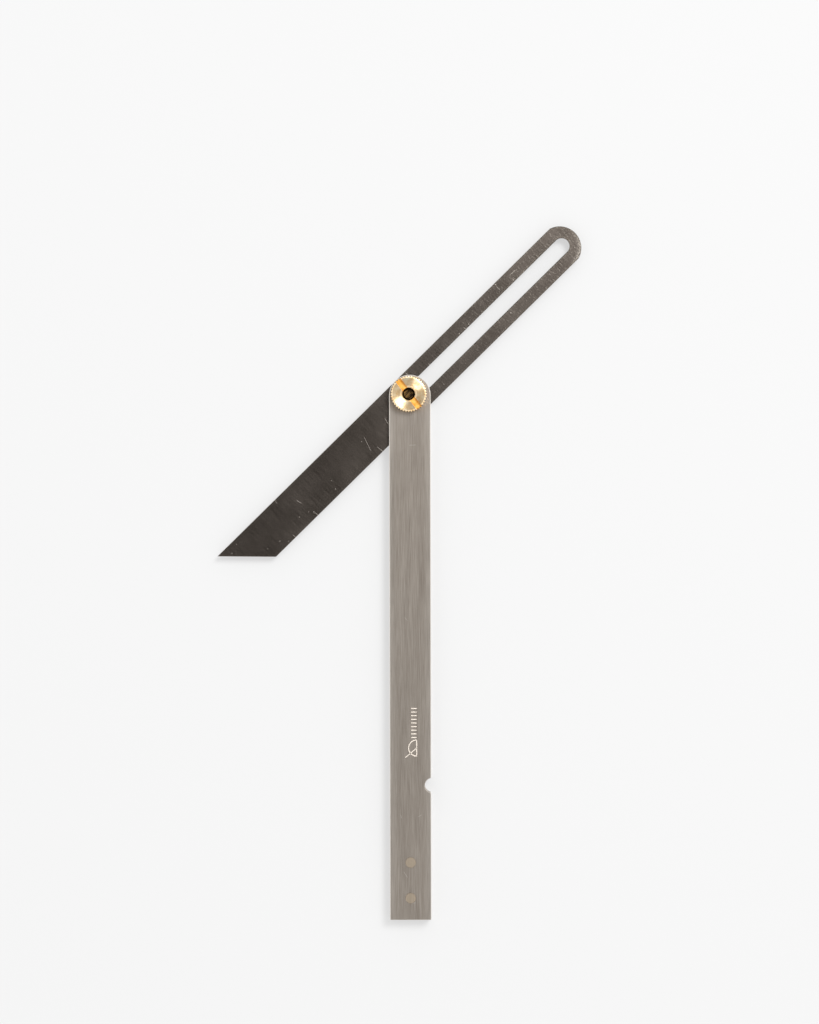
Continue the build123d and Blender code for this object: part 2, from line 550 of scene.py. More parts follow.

# %% [markdown]
# ## Blade: fine-ground spring steel
#
# The blade is thin hardened steel, ground flat across its width and much smoother than the handle.
# A smooth dark metal mirrors the dark ceiling, so it looks nearly black from above, and lightens
# towards the lamp. The grinding runs across the blade, and so do most of the scratches that it has
# picked up. A thin dark line is painted along its edges, a painted reflection of the dark room in
# the edge break. Just inside it lies a pale strip, partly rubbed wear and partly a painted
# highlight of the edge break.
#
# The real grinding lines are some 0.05 mm apart, and are drawn 0.3 mm apart so that they show.
#
# One mapping turns the blade's own direction to Y and centres it, and all its marks use that.

# %% Blade coordinates
BLADE_LENGTH = 233.0
BLADE_WIDTH = 20.0
SLOT_LENGTH = 116.8
SLOT_END_WALL = 5.25
SLOT_HALF_WIDTH = 3.84
ROUND_END_RADIUS = 10.5

half_blade = BLADE_WIDTH / 2
spin_back = -blade_turn
shift = Vector((handle_x, round_end_y, 0.0))
shift.rotate(Euler((0.0, 0.0, spin_back)))
round_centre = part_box("blade")[1] - Vector((ROUND_END_RADIUS, ROUND_END_RADIUS, 0)) * MM
round_y = -round_centre.dot(blade_down) / MM
slot_top_y = round_y + ROUND_END_RADIUS - SLOT_END_WALL - SLOT_HALF_WIDTH
slot_bottom_y = slot_top_y + 2 * SLOT_HALF_WIDTH - SLOT_LENGTH
tip_y = round_y + ROUND_END_RADIUS - BLADE_LENGTH
print("blade from", round(tip_y, 2), "to", round(tip_y + BLADE_LENGTH, 2), "mm along itself")

# %% Fine-ground spring steel
CROSS_GRAIN_LENGTH = 9.0
CROSS_GRAIN_WIDTH = 0.3
GRIT_SIZE = 0.5
CLOUD_SIZE = 22.0

blade_steel, tree = new_material("ground_spring_steel")
place = add(tree, "ShaderNodeTexCoord").outputs["Object"]
blade_mm = add(
    tree,
    "ShaderNodeMapping",
    {
        "Vector": place,
        "Location": (-shift.x / MM, -shift.y / MM, 0.0),
        "Rotation": (0.0, 0.0, spin_back),
        "Scale": (1 / MM, 1 / MM, 0.0),
    },
).outputs[0]
cross_grain = add(
    tree,
    "ShaderNodeTexNoise",
    {
        "Vector": add(
            tree,
            "ShaderNodeMapping",
            {
                "Vector": blade_mm,
                "Scale": (1 / CROSS_GRAIN_LENGTH, 1 / CROSS_GRAIN_WIDTH, 1.0),
            },
        ).outputs[0],
        "Scale": 1.0,
        "Detail": 5.0,
        "Roughness": 0.7,
    },
).outputs["Fac"]
grit = add(
    tree,
    "ShaderNodeTexNoise",
    {"Vector": blade_mm, "Scale": 1 / GRIT_SIZE, "Detail": 3.0, "Roughness": 0.6},
).outputs["Fac"]
clouds = add(
    tree, "ShaderNodeTexNoise", {"Vector": blade_mm, "Scale": 1 / CLOUD_SIZE, "Detail": 2.0}
).outputs["Fac"]
fine_tone = add(
    tree, "ShaderNodeMix", {0: 0.5, 2: cross_grain, 3: grit}, data_type="FLOAT"
).outputs[0]
tone = add(
    tree,
    "ShaderNodeMapRange",
    {
        "Value": add(
            tree, "ShaderNodeMix", {0: 0.2, 2: fine_tone, 3: clouds}, data_type="FLOAT"
        ).outputs[0],
        "From Min": 0.35,
        "From Max": 0.65,
    },
).outputs[0]
ground = add(
    tree,
    "ShaderNodeMix",
    {0: tone, 6: linear("#61584f"), 7: linear("#938981")},
    data_type="RGBA",
).outputs[2]
print("made", blade_steel.name)

# %% [markdown]
# Wear and painted edge light follow the edges, so the finish needs to know how far each point is
# from the nearest one. The outline is simple enough to write down: two straight sides, a round
# end, a slanted cut and the slot. The smallest of those distances is the distance from the edge. A
# thin line right at the edge is painted dark, a painted reflection of the dark room in the edge
# break. A strip just inside it is painted lighter wherever the noise allows, partly rubbed wear
# and partly a painted highlight of the edge break.

# %% Wear and painted edge light along the blade's edges
DARK_EDGE_WIDTH = 0.4
SHEEN_STRIP_WIDTH = 1.2
KNOCKED_WIDTH = 2.4

split = add(tree, "ShaderNodeSeparateXYZ", {0: blade_mm}).outputs
off_centre = add(tree, "ShaderNodeMath", {0: split[0]}, operation="ABSOLUTE").outputs[0]
to_side = add(
    tree, "ShaderNodeMath", {0: half_blade, 1: off_centre}, operation="SUBTRACT"
).outputs[0]
past_round = add(
    tree,
    "ShaderNodeMath",
    {
        0: add(tree, "ShaderNodeMath", {0: split[1], 1: round_y}, operation="SUBTRACT").outputs[0],
        1: 0.0,
    },
    operation="MAXIMUM",
).outputs[0]
to_round_end = add(
    tree,
    "ShaderNodeMath",
    {
        0: ROUND_END_RADIUS,
        1: add(
            tree,
            "ShaderNodeVectorMath",
            {0: add(tree, "ShaderNodeCombineXYZ", {0: split[0], 1: past_round}).outputs[0]},
            operation="LENGTH",
        ).outputs["Value"],
    },
    operation="SUBTRACT",
).outputs[0]
past_slot = add(
    tree,
    "ShaderNodeMath",
    {
        0: add(
            tree,
            "ShaderNodeMath",
            {
                0: add(
                    tree, "ShaderNodeMath", {0: split[1], 1: slot_top_y}, operation="SUBTRACT"
                ).outputs[0],
                1: add(
                    tree, "ShaderNodeMath", {0: slot_bottom_y, 1: split[1]}, operation="SUBTRACT"
                ).outputs[0],
            },
            operation="MAXIMUM",
        ).outputs[0],
        1: 0.0,
    },
    operation="MAXIMUM",
).outputs[0]
to_slot = add(
    tree,
    "ShaderNodeMath",
    {
        0: add(
            tree,
            "ShaderNodeVectorMath",
            {0: add(tree, "ShaderNodeCombineXYZ", {0: split[0], 1: past_slot}).outputs[0]},
            operation="LENGTH",
        ).outputs["Value"],
        1: SLOT_HALF_WIDTH,
    },
    operation="SUBTRACT",
).outputs[0]
to_cut = add(
    tree,
    "ShaderNodeVectorMath",
    {
        0: add(
            tree,
            "ShaderNodeVectorMath",
            {0: blade_mm, 1: (-half_blade, tip_y, 0.0)},
            operation="SUBTRACT",
        ).outputs[0],
        1: (-math.sqrt(0.5), math.sqrt(0.5), 0.0),
    },
    operation="DOT_PRODUCT",
).outputs["Value"]
from_edge = to_side
for distance in (to_round_end, to_slot, to_cut):
    from_edge = add(
        tree, "ShaderNodeMath", {0: from_edge, 1: distance}, operation="MINIMUM"
    ).outputs[0]
# Painted reflection: a thin dark line right at the edge, standing for the edge break mirroring the
# dark room.
painted_dark_edge = add(
    tree, "ShaderNodeMapRange", {"Value": from_edge, "From Min": DARK_EDGE_WIDTH, "From Max": 0.2}
).outputs[0]
# Painted highlight and wear: a pale strip just inside the edge, standing for the edge break
# catching light, broken up by the noise.
painted_sheen_strip = add(
    tree, "ShaderNodeMapRange", {"Value": from_edge, "From Min": SHEEN_STRIP_WIDTH, "From Max": 0.5}
).outputs[0]
patchy = add(
    tree, "ShaderNodeMapRange", {"Value": grit, "From Min": 0.42, "From Max": 0.58}
).outputs[0]
rubbed_and_sheen = add(
    tree, "ShaderNodeMath", {0: painted_sheen_strip, 1: patchy}, operation="MULTIPLY"
).outputs[0]
knocked_end = add(
    tree,
    "ShaderNodeMath",
    {
        0: add(
            tree,
            "ShaderNodeMapRange",
            {"Value": to_round_end, "From Min": KNOCKED_WIDTH, "From Max": 0.6},
        ).outputs[0],
        1: add(
            tree, "ShaderNodeMapRange", {"Value": split[0], "From Min": -2.0, "From Max": 5.0}
        ).outputs[0],
    },
    operation="MULTIPLY",
).outputs[0]
knocked = add(
    tree,
    "ShaderNodeMath",
    {
        0: add(
            tree,
            "ShaderNodeMath",
            {0: knocked_end, 1: patchy},
            operation="MULTIPLY",
        ).outputs[0],
        1: add(
            tree,
            "ShaderNodeMapRange",
            {"Value": split[1], "From Min": round_y - 2.0, "From Max": round_y + 2.0},
        ).outputs[0],
    },
    operation="MULTIPLY",
).outputs[0]
# The first width is that of the pale strip, partly painted highlight and partly wear; the second
# is that of the knocked round end.
print("edge wear reaches", SHEEN_STRIP_WIDTH, "mm in, and", KNOCKED_WIDTH, "mm at the round end")

# %% [markdown]
# Four kinds of marks lie over the ground steel. Long ones run across the blade, left by the work
# that it was held against. Loose ones lean any way. Nicks are short, and most cells have none.
# Fine specks cover the slotted half, which slides under the bolt and collects the most wear.

# %% Scratches on the blade, and its shader
cross_marks = scratches(
    tree, blade_mm, cell=13.0, length=6.5, width=0.2, lean=0.0, wander=0.6, share=0.5
)
loose_marks = scratches(
    tree, blade_mm, cell=24.0, length=11.0, width=0.18, lean=0.9, wander=3.0, share=0.6
)
nicks = scratches(
    tree, blade_mm, cell=3.0, length=1.0, width=0.24, lean=0.0, wander=2.0, share=0.06
)
speckle = add(
    tree,
    "ShaderNodeMath",
    {
        0: scratches(
            tree, blade_mm, cell=1.5, length=1.6, width=0.3, lean=0.0, wander=1.0, share=0.4
        ),
        1: add(
            tree, "ShaderNodeMapRange", {"Value": split[1], "From Min": -10.0, "From Max": 50.0}
        ).outputs[0],
    },
    operation="MULTIPLY",
).outputs[0]
marks = cross_marks
for more in (loose_marks, nicks):
    marks = add(tree, "ShaderNodeMath", {0: marks, 1: more}, operation="MAXIMUM").outputs[0]
colour = ground
# Over the ground steel: the pale edge strip (partly painted highlight, partly wear), the knocked
# round end, the painted dark edge line, specks and scratches.
for mask, share, tint in (
    (rubbed_and_sheen, 0.3, "#b5a999"),
    (knocked, 0.9, "#e0d6ca"),
    (painted_dark_edge, 0.5, "#4a433e"),
    (speckle, 0.55, "#d6ccc0"),
    (marks, 0.4, "#efe8df"),
):
    colour = add(
        tree,
        "ShaderNodeMix",
        {
            0: add(tree, "ShaderNodeMath", {0: mask, 1: share}, operation="MULTIPLY").outputs[0],
            6: colour,
            7: linear(tint),
        },
        data_type="RGBA",
    ).outputs[2]
gloss = add(
    tree,
    "ShaderNodeMix",
    {
        0: marks,
        2: add(
            tree, "ShaderNodeMapRange", {"Value": tone, "To Min": 0.17, "To Max": 0.24}
        ).outputs[0],
        3: 0.34,
    },
    data_type="FLOAT",
).outputs[0]
grooves = add(
    tree, "ShaderNodeBump", {"Strength": 0.06, "Distance": 0.02 * MM, "Height": fine_tone}
).outputs[0]
tangent = add(
    tree,
    "ShaderNodeVectorTransform",
    {0: tuple(blade_down)},
    vector_type="VECTOR",
    convert_from="OBJECT",
    convert_to="WORLD",
).outputs[0]
shader = add(
    tree,
    "ShaderNodeBsdfPrincipled",
    {
        "Base Color": colour,
        "Metallic": 1.0,
        "Roughness": gloss,
        "Normal": grooves,
        "Anisotropic": 0.5,
        "Tangent": tangent,
    },
)
add(tree, "ShaderNodeOutputMaterial", {"Surface": shader.outputs[0]})
wear("blade", blade_steel)

# %% [markdown]
# ## Brass: turned on a lathe
#
# The nut and its washer are free-cutting brass. A lathe tool leaves rings round the axis, and
# rings throw light straight out and in, along the radius. The result is the bow-tie gleam of any
# turned metal face: bright towards the lamp and away from it, dark in between. The tangent is
# the direction out from the axis.
#
# The rings of the real tool are some 0.05 mm apart, and are drawn 0.25 mm apart. Over them lie
# soft spots of tarnish, some 2 mm across, where fingers have been.

# %% Turned brass
RING_PITCH = 0.25
TARNISH_SIZE = 2.2


def turned_brass(name, dark, light, roughness, anisotropy):
    """Lathe-turned brass with its rings round the Z axis."""
    material, tree = new_material(name)
    place = add(tree, "ShaderNodeTexCoord").outputs["Object"]
    outwards = add(
        tree, "ShaderNodeVectorMath", {0: place, 1: (1.0, 1.0, 0.0)}, operation="MULTIPLY"
    ).outputs[0]
    radius = add(tree, "ShaderNodeVectorMath", {0: outwards}, operation="LENGTH").outputs["Value"]
    rings = add(
        tree,
        "ShaderNodeTexNoise",
        {"W": add(
            tree, "ShaderNodeMath", {0: radius, 1: 1 / (RING_PITCH * MM)}, operation="MULTIPLY"
        ).outputs[0], "Scale": 1.0, "Detail": 2.0},
        noise_dimensions="1D",
    ).outputs["Fac"]
    tarnish = add(
        tree,
        "ShaderNodeTexNoise",
        {"Vector": place, "Scale": 1 / (TARNISH_SIZE * MM), "Detail": 5.0},
    ).outputs["Fac"]
    tone = add(
        tree, "ShaderNodeMix", {0: 0.7, 2: rings, 3: tarnish}, data_type="FLOAT"
    ).outputs[0]
    colour = add(
        tree,
        "ShaderNodeMix",
        {
            0: add(
                tree, "ShaderNodeMapRange", {"Value": tone, "From Min": 0.35, "From Max": 0.65}
            ).outputs[0],
            6: linear(dark),
            7: linear(light),
        },
        data_type="RGBA",
    ).outputs[2]
    gloss = add(
        tree,
        "ShaderNodeMapRange",
        {"Value": tone, "To Min": roughness - 0.05, "To Max": roughness + 0.05},
    ).outputs[0]
    grooves = add(
        tree, "ShaderNodeBump", {"Strength": 0.04, "Distance": 0.02 * MM, "Height": rings}
    ).outputs[0]
    tangent = add(
        tree,
        "ShaderNodeVectorTransform",
        {0: add(
            tree, "ShaderNodeVectorMath", {0: outwards}, operation="NORMALIZE"
        ).outputs[0]},
        vector_type="VECTOR",
        convert_from="OBJECT",
        convert_to="WORLD",
    ).outputs[0]
    shader = add(
        tree,
        "ShaderNodeBsdfPrincipled",
        {
            "Base Color": colour,
            "Metallic": 1.0,
            "Roughness": gloss,
            "Normal": grooves,
            "Anisotropic": anisotropy,
            "Tangent": tangent,
        },
    )
    add(tree, "ShaderNodeOutputMaterial", {"Surface": shader.outputs[0]})
    return material


turned = turned_brass("turned_brass", "#edc284", "#fff0d0", 0.29, 0.9)
# Painted reflection: the slot's brass is given a deeper, more saturated gold, which stands for
# brass mirroring brass; its rougher finish is real.
milled_painted_reflection = turned_brass("milled_brass_and_painted_reflection", "#e69a34", "#fbc970", 0.46, 0.3)
wear("clamp_washer", turned)

# %% [markdown]
# ## Bolt end
#
# Inside the nut sits the end of the clamp bolt, sawn and faced, down in a brass well. It is carbon
# steel with a film of old oil, so it is dark and brown. Its slanting file marks are painted as
# lighter gold-brown streaks, a painted lustre. The edge of its upper end, where the thread meets
# the brass well, is painted black, a painted shade in the gap between bolt and nut.

# %% Oiled carbon steel
FILE_LEAN = -48.0
FILE_MARK_SIZE = (0.5 * MM, 5.0 * MM, 5.0 * MM)
THREAD_INSIDE = 2.1 * MM
THREAD_OUTSIDE = 2.4 * MM
THREAD_START = 5.0 * MM
THREAD_FULL = 7.0 * MM

bolt_steel, tree = new_material("oiled_carbon_steel")
place = add(tree, "ShaderNodeTexCoord").outputs["Object"]
file_marks = add(
    tree,
    "ShaderNodeTexNoise",
    {
        "Vector": add(
            tree,
            "ShaderNodeMapping",
            {
                "Vector": place,
                "Rotation": (0.0, 0.0, math.radians(FILE_LEAN)),
                "Scale": FILE_MARK_SIZE,
            },
            vector_type="TEXTURE",
        ).outputs[0],
        "Scale": 1.0,
        "Detail": 3.0,
    },
).outputs["Fac"]
# Painted lustre: the file marks are painted from near black to a light gold-brown, standing for a
# slanting reflection.
filed_with_painted_lustre = add(
    tree,
    "ShaderNodeMix",
    {
        0: add(
            tree, "ShaderNodeMapRange", {"Value": file_marks, "From Min": 0.5, "From Max": 0.68}
        ).outputs[0],
        6: linear("#17100b"),
        7: linear("#a07c4c"),
    },
    data_type="RGBA",
).outputs[2]
from_axis = add(
    tree,
    "ShaderNodeVectorMath",
    {0: add(
        tree, "ShaderNodeVectorMath", {0: place, 1: (1.0, 1.0, 0.0)}, operation="MULTIPLY"
    ).outputs[0]},
    operation="LENGTH",
).outputs["Value"]
height = add(tree, "ShaderNodeSeparateXYZ", {0: place}).outputs[2]
# Painted shade: the bolt's edge near the top, in the gap to the nut's bore, is painted near black.
painted_thread_shade = add(
    tree,
    "ShaderNodeMath",
    {
        0: add(
            tree,
            "ShaderNodeMapRange",
            {"Value": from_axis, "From Min": THREAD_INSIDE, "From Max": THREAD_OUTSIDE},
        ).outputs[0],
        1: add(
            tree,
            "ShaderNodeMapRange",
            {"Value": height, "From Min": THREAD_START, "From Max": THREAD_FULL},
        ).outputs[0],
    },
    operation="MULTIPLY",
).outputs[0]
colour = add(
    tree,
    "ShaderNodeMix",
    {0: painted_thread_shade, 6: filed_with_painted_lustre, 7: linear("#070504")},
    data_type="RGBA",
).outputs[2]
shader = add(
    tree,
    "ShaderNodeBsdfPrincipled",
    {
        "Base Color": colour,
        "Metallic": 1.0,
        "Roughness": add(
            tree, "ShaderNodeMapRange", {"Value": file_marks, "To Min": 0.3, "To Max": 0.5}
        ).outputs[0],
        "Normal": add(
            tree,
            "ShaderNodeBump",
            {"Strength": 0.2, "Distance": 0.03 * MM, "Height": file_marks},
        ).outputs[0],
    },
)
add(tree, "ShaderNodeOutputMaterial", {"Surface": shader.outputs[0]})
wear("pivot_bolt", bolt_steel)

# %% [markdown]
# ## Thumb nut
#
# The imported nut has the right shape but hard edges and a coarse rim. This one is made the way a
# lathe makes it. Half of its section is drawn as a closed line of radius and height, every corner
# is rounded a little, and each point of the line is carried round the axis. Then the knurling
# wheel presses V-shaped teeth into the rim: no point may stand further out than the tooth allows
# at its angle. Last, a milling cutter runs straight across the face and leaves the screwdriver
# slot. The cutter's faces carry a finish of their own. Their colour is painted a deeper, more
# saturated gold, a painted reflection of brass that mirrors brass in the slot.

# %% The nut's section
BASE_CHAMFER = 0.3
SHOULDER_WIDTH = 1.0
SHOULDER_DROP = 0.5
KNURL_TEETH = 40
KNURL_DEPTH = 0.7
LAND_INNER_RADIUS = 7.5
FLOOR_RADIUS = 5.2
RECESS_DEPTH = 0.15
MOUTH_RADIUS = 3.9
BORE_RADIUS = 3.05
CORNER_ROUNDING = 0.2
SCREW_SLOT_WIDTH = 2.9
SCREW_SLOT_DEPTH = 1.5
SCREW_SLOT_ANGLE = 127.5

nut_radius = (nut_high.x - nut_low.x) / 2 / MM
nut_height = (nut_high.z - nut_low.z) / MM
knurl_drop = SHOULDER_DROP * (1 - KNURL_DEPTH / SHOULDER_WIDTH)
section = [
    (BORE_RADIUS, 0.0),
    (nut_radius - BASE_CHAMFER, 0.0),
    (nut_radius, BASE_CHAMFER),
    (nut_radius, nut_height - SHOULDER_DROP),
    (nut_radius - KNURL_DEPTH, nut_height - knurl_drop),
    (nut_radius - SHOULDER_WIDTH, nut_height),
    (LAND_INNER_RADIUS, nut_height),
    (FLOOR_RADIUS, nut_height - RECESS_DEPTH),
    (MOUTH_RADIUS, nut_height - RECESS_DEPTH),
    (BORE_RADIUS, nut_height - RECESS_DEPTH - (MOUTH_RADIUS - BORE_RADIUS)),
]
section_mesh = bpy.data.meshes.new("nut_section")
section_mesh.from_pydata(
    [(radius * MM, 0.0, nut_low.z + height * MM) for radius, height in section],
    [(corner, (corner + 1) % len(section)) for corner in range(len(section))],
    [],
)
print("nut", round(2 * nut_radius, 2), "mm across,", round(nut_height, 2), "mm high")

# %% [markdown]
# A helper runs a Geometry Nodes tree and keeps only its result. The sizes are named inputs of the
# tree. A modifier's input is set by the socket's identifier, before anything is evaluated, and
# the modifier is gone before the piece is told which body it rides on.

# %% Run a tree
def new_shape_tree(name, sizes):
    """A Geometry Nodes tree with named number inputs, its input node and its output node."""
    tree = bpy.data.node_groups.new(name, "GeometryNodeTree")
    tree.interface.new_socket("Geometry", in_out="INPUT", socket_type="NodeSocketGeometry")
    for size in sizes:
        tree.interface.new_socket(size, in_out="INPUT", socket_type="NodeSocketFloat")
    tree.interface.new_socket("Geometry", in_out="OUTPUT", socket_type="NodeSocketGeometry")
    return tree, add(tree, "NodeGroupInput").outputs


def shaped(name, mesh, tree, sizes):
    """The mesh that a tree makes from a mesh, as a plain object at the origin."""
    maker = bpy.data.objects.new(name + "_maker", mesh)
    scene.collection.objects.link(maker)
    modifier = maker.modifiers.new("shape", "NODES")
    modifier.node_group = tree
    for item in tree.interface.items_tree:
        if item.in_out == "INPUT" and item.name in sizes:
            modifier[item.identifier] = float(sizes[item.name])
    evaluated = maker.evaluated_get(bpy.context.evaluated_depsgraph_get())
    result = bpy.data.meshes.new_from_object(evaluated)
    bpy.data.objects.remove(maker)
    if result.materials[0] is None:
        result.materials.pop(index=0)
    result.name = name
    piece = bpy.data.objects.new(name, result)
    scene.collection.objects.link(piece)
    triangles = sum(len(face.vertices) - 2 for face in result.polygons)
    print(name, "has", triangles, "triangles and", [m.name for m in result.materials])
    return piece


print("ready to run shape trees")

# %% Turn, knurl and slot the nut
TURN_STEPS = 480
SHARP_EDGE = 32.0

nut_sizes = {
    "Rounding": CORNER_ROUNDING * MM,
    "Rim Radius": nut_radius * MM,
    "Knurl Teeth": KNURL_TEETH,
    "Knurl Depth": KNURL_DEPTH * MM,
    "Top": nut_high.z,
    "Slot Width": SCREW_SLOT_WIDTH * MM,
    "Slot Depth": SCREW_SLOT_DEPTH * MM,
    "Slot Angle": math.radians(SCREW_SLOT_ANGLE),
}
tree, given = new_shape_tree("thumb_nut_turning", nut_sizes)
outline = add(tree, "GeometryNodeMeshToCurve", {"Mesh": given["Geometry"]}).outputs[0]
rounded = add(
    tree,
    "GeometryNodeFilletCurve",
    {"Curve": outline, "Radius": given["Rounding"], "Limit Radius": True, "Count": 3},
    mode="POLY",
).outputs[0]
line_points = add(
    tree, "GeometryNodeCurveToPoints", {"Curve": rounded}, mode="EVALUATED"
).outputs["Points"]
point_count = add(
    tree,
    "GeometryNodeAttributeDomainSize",
    {"Geometry": line_points},
    component="POINTCLOUD",
).outputs["Point Count"]
columns = add(tree, "ShaderNodeMath", {0: point_count, 1: 1.0}, operation="ADD").outputs[0]
sheet = add(
    tree,
    "GeometryNodeMeshGrid",
    {"Size X": 1.0, "Size Y": 1.0, "Vertices X": columns, "Vertices Y": TURN_STEPS + 1},
).outputs["Mesh"]
sheet_place = add(
    tree, "ShaderNodeSeparateXYZ", {0: add(tree, "GeometryNodeInputPosition").outputs[0]}
).outputs
along_line = add(
    tree,
    "ShaderNodeMath",
    {
        0: add(tree, "ShaderNodeMath", {0: sheet_place[0], 1: 0.5}, operation="ADD").outputs[0],
        1: point_count,
    },
    operation="MULTIPLY",
).outputs[0]
nearest = add(tree, "ShaderNodeMath", {0: along_line}, operation="ROUND").outputs[0]
wrapped = add(
    tree, "ShaderNodeMath", {0: nearest, 1: point_count}, operation="FLOORED_MODULO"
).outputs[0]
section_point = add(
    tree,
    "GeometryNodeSampleIndex",
    {
        "Geometry": line_points,
        "Value": add(tree, "GeometryNodeInputPosition").outputs[0],
        "Index": wrapped,
    },
    data_type="FLOAT_VECTOR",
    domain="POINT",
).outputs[0]
angle = add(
    tree,
    "ShaderNodeMath",
    {
        0: add(tree, "ShaderNodeMath", {0: sheet_place[1], 1: 0.5}, operation="ADD").outputs[0],
        1: 2 * math.pi,
    },
    operation="MULTIPLY",
).outputs[0]
tooth_phase = add(
    tree,
    "ShaderNodeMath",
    {
        0: add(
            tree, "ShaderNodeMath", {0: angle, 1: given["Knurl Teeth"]}, operation="MULTIPLY"
        ).outputs[0],
        1: math.pi,
    },
    operation="DIVIDE",
).outputs[0]
tooth = add(tree, "ShaderNodeMath", {0: tooth_phase, 1: 1.0}, operation="PINGPONG").outputs[0]
tooth_radius = add(
    tree,
    "ShaderNodeMath",
    {
        0: given["Rim Radius"],
        1: add(
            tree, "ShaderNodeMath", {0: tooth, 1: given["Knurl Depth"]}, operation="MULTIPLY"
        ).outputs[0],
    },
    operation="SUBTRACT",
).outputs[0]
point_parts = add(tree, "ShaderNodeSeparateXYZ", {0: section_point}).outputs
held_in = add(
    tree, "ShaderNodeMath", {0: point_parts[0], 1: tooth_radius}, operation="MINIMUM"
).outputs[0]
carried = add(
    tree,
    "ShaderNodeVectorRotate",
    {
        "Vector": add(
            tree, "ShaderNodeCombineXYZ", {0: held_in, 2: point_parts[2]}
        ).outputs[0],
        "Angle": angle,
    },
    rotation_type="Z_AXIS",
).outputs[0]
turned_sheet = add(
    tree, "GeometryNodeSetPosition", {"Geometry": sheet, "Position": carried}
).outputs[0]
closed = add(
    tree, "GeometryNodeMergeByDistance", {"Geometry": turned_sheet, "Distance": 0.001 * MM}
).outputs[0]
blank = add(
    tree, "GeometryNodeSetMaterial", {"Geometry": closed, "Material": turned}
).outputs[0]
cutter_length = add(
    tree, "ShaderNodeMath", {0: given["Rim Radius"], 1: 3.0}, operation="MULTIPLY"
).outputs[0]
cutter_height = add(
    tree, "ShaderNodeMath", {0: given["Slot Depth"], 1: 2.0}, operation="MULTIPLY"
).outputs[0]
cutter_size = add(
    tree,
    "ShaderNodeCombineXYZ",
    {0: cutter_length, 1: given["Slot Width"], 2: cutter_height},
).outputs[0]
cutter = add(tree, "GeometryNodeMeshCube", {"Size": cutter_size}).outputs["Mesh"]
# The cutter's faces carry the slot finish, whose deep gold is a painted reflection.
placed_cutter = add(
    tree,
    "GeometryNodeTransform",
    {
        "Geometry": add(
            tree, "GeometryNodeSetMaterial", {"Geometry": cutter, "Material": milled_painted_reflection}
        ).outputs[0],
        "Translation": add(tree, "ShaderNodeCombineXYZ", {2: given["Top"]}).outputs[0],
        "Rotation": add(tree, "ShaderNodeCombineXYZ", {2: given["Slot Angle"]}).outputs[0],
    },
).outputs[0]
slotted = add(
    tree,
    "GeometryNodeMeshBoolean",
    {"Mesh 1": blank, "Mesh 2": placed_cutter},
    operation="DIFFERENCE",
    solver="EXACT",
).outputs[0]
gently_bent = add(
    tree,
    "FunctionNodeCompare",
    {
        0: add(tree, "GeometryNodeInputMeshEdgeAngle").outputs[0],
        1: math.radians(SHARP_EDGE),
    },
    data_type="FLOAT",
    operation="LESS_THAN",
).outputs[0]
smooth_faces = add(
    tree,
    "GeometryNodeSetShadeSmooth",
    {"Geometry": slotted, "Shade Smooth": True},
    domain="FACE",
).outputs[0]
smooth = add(
    tree,
    "GeometryNodeSetShadeSmooth",
    {"Geometry": smooth_faces, "Shade Smooth": gently_bent},
    domain="EDGE",
).outputs[0]
add(
    tree,
    "NodeGroupOutput",
    {0: add(tree, "GeometryNodeRealizeInstances", {"Geometry": smooth}).outputs[0]},
)
thumb_nut = shaped("thumb_nut", section_mesh, tree, nut_sizes)
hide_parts("clamp_nut")
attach(thumb_nut, "nut")

# %% [markdown]
# ## Etched mark
#
# Makers etch a mark into the front plate: a mask is printed, and acid takes away a few hundredths
# of a millimetre of bright steel, which leaves pale frosted lines. This mark is a plain sign for
# a protractor, a half circle on its base line with one slanted arm, and above it a short row of
# even ticks. Each stroke is a line or an arc that a small flat section is run along, so that the
# frosted steel has a body of its own, barely above the plate.

# %% Frosted steel
FROST_SIZE = 0.3

frosted, tree = new_material("frosted_steel")
place = add(tree, "ShaderNodeTexCoord").outputs["Object"]
frost = add(
    tree, "ShaderNodeTexNoise", {"Vector": place, "Scale": 1 / (FROST_SIZE * MM), "Detail": 2.0}
).outputs["Fac"]
shader = add(
    tree,
    "ShaderNodeBsdfPrincipled",
    {
        "Base Color": add(
            tree,
            "ShaderNodeMix",
            {0: frost, 6: linear("#d9d0c6"), 7: linear("#efe8df")},
            data_type="RGBA",
        ).outputs[2],
        "Metallic": 1.0,
        "Roughness": 0.75,
        "Normal": add(
            tree, "ShaderNodeBump", {"Strength": 0.4, "Distance": 0.02 * MM, "Height": frost}
        ).outputs[0],
    },
)
add(tree, "ShaderNodeOutputMaterial", {"Surface": shader.outputs[0]})
print("made", frosted.name)

# %% Strokes of the mark
ARM_ANGLE = math.radians(50)

mark_sizes = {
    "Stroke Width": 0.42 * MM,
    "Stroke Height": 0.04 * MM,
    "Radius": 3.9 * MM,
    "Arm Length": 7.0 * MM,
    "Tick Length": 2.6 * MM,
    "Tick Pitch": 1.75 * MM,
    "Tick Count": 9,
    "Tick Start": 5.1 * MM,
    "Place X": handle_x + 3.0 * MM,
    "Place Y": round_end_y - 170.1 * MM,
    "Place Z": handle_top,
}
tree, given = new_shape_tree("etched_mark", mark_sizes)
stroke_section = add(
    tree,
    "GeometryNodeCurvePrimitiveQuadrilateral",
    {"Width": given["Stroke Width"], "Height": given["Stroke Height"]},
    mode="RECTANGLE",
).outputs[0]
radius_back = add(
    tree, "ShaderNodeMath", {0: given["Radius"], 1: -1.0}, operation="MULTIPLY"
).outputs[0]
base_line = add(
    tree,
    "GeometryNodeCurvePrimitiveLine",
    {
        "Start": add(tree, "ShaderNodeCombineXYZ", {1: radius_back}).outputs[0],
        "End": add(tree, "ShaderNodeCombineXYZ", {1: given["Radius"]}).outputs[0],
    },
).outputs[0]
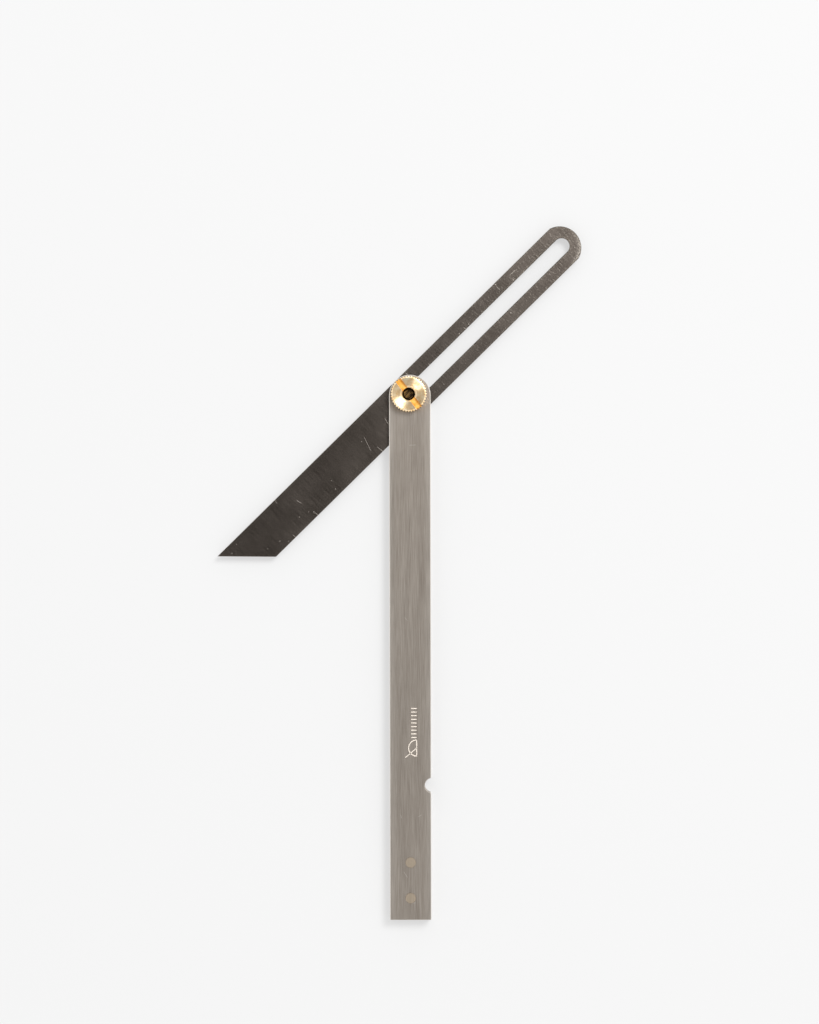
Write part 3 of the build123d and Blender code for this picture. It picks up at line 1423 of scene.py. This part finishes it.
half_circle = add(
    tree,
    "GeometryNodeCurveArc",
    {
        "Resolution": 33,
        "Radius": given["Radius"],
        "Start Angle": math.radians(90),
        "Sweep Angle": math.radians(180),
    },
    mode="RADIUS",
).outputs[0]
slant_end = add(
    tree,
    "ShaderNodeVectorMath",
    {0: (-math.sin(ARM_ANGLE), -math.cos(ARM_ANGLE), 0.0), "Scale": given["Arm Length"]},
    operation="SCALE",
).outputs[0]
slant = add(tree, "GeometryNodeCurvePrimitiveLine", {"End": slant_end}).outputs[0]
tick_back = add(
    tree, "ShaderNodeMath", {0: given["Tick Length"], 1: -1.0}, operation="MULTIPLY"
).outputs[0]
tick = add(
    tree,
    "GeometryNodeCurvePrimitiveLine",
    {
        "Start": add(tree, "ShaderNodeCombineXYZ", {0: tick_back}).outputs[0],
        "End": (0.0, 0.0, 0.0),
    },
).outputs[0]
tick_row = add(
    tree,
    "GeometryNodeMeshLine",
    {
        "Count": given["Tick Count"],
        "Start Location": add(
            tree, "ShaderNodeCombineXYZ", {1: given["Tick Start"]}
        ).outputs[0],
        "Offset": add(tree, "ShaderNodeCombineXYZ", {1: given["Tick Pitch"]}).outputs[0],
    },
    mode="OFFSET",
).outputs[0]
ticks = add(
    tree,
    "GeometryNodeInstanceOnPoints",
    {"Points": tick_row, "Instance": tick},
).outputs[0]
all_lines = add(tree, "GeometryNodeJoinGeometry")
for line in (base_line, half_circle, slant, ticks):
    tree.links.new(line, all_lines.inputs[0])
real_lines = add(
    tree, "GeometryNodeRealizeInstances", {"Geometry": all_lines.outputs[0]}
).outputs[0]
level = add(
    tree, "GeometryNodeSetCurveNormal", {"Curve": real_lines}, mode="Z_UP"
).outputs[0]
strokes = add(
    tree,
    "GeometryNodeCurveToMesh",
    {"Curve": level, "Profile Curve": stroke_section, "Fill Caps": True},
).outputs[0]
placed = add(
    tree,
    "GeometryNodeTransform",
    {
        "Geometry": strokes,
        "Translation": add(
            tree,
            "ShaderNodeCombineXYZ",
            {0: given["Place X"], 1: given["Place Y"], 2: given["Place Z"]},
        ).outputs[0],
    },
).outputs[0]
real = add(tree, "GeometryNodeRealizeInstances", {"Geometry": placed}).outputs[0]
add(
    tree,
    "NodeGroupOutput",
    {0: add(
        tree, "GeometryNodeSetMaterial", {"Geometry": real, "Material": frosted}
    ).outputs[0]},
)
etched_mark = shaped("etched_mark", bpy.data.meshes.new("no_mesh"), tree, mark_sizes)
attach(etched_mark, "handle")
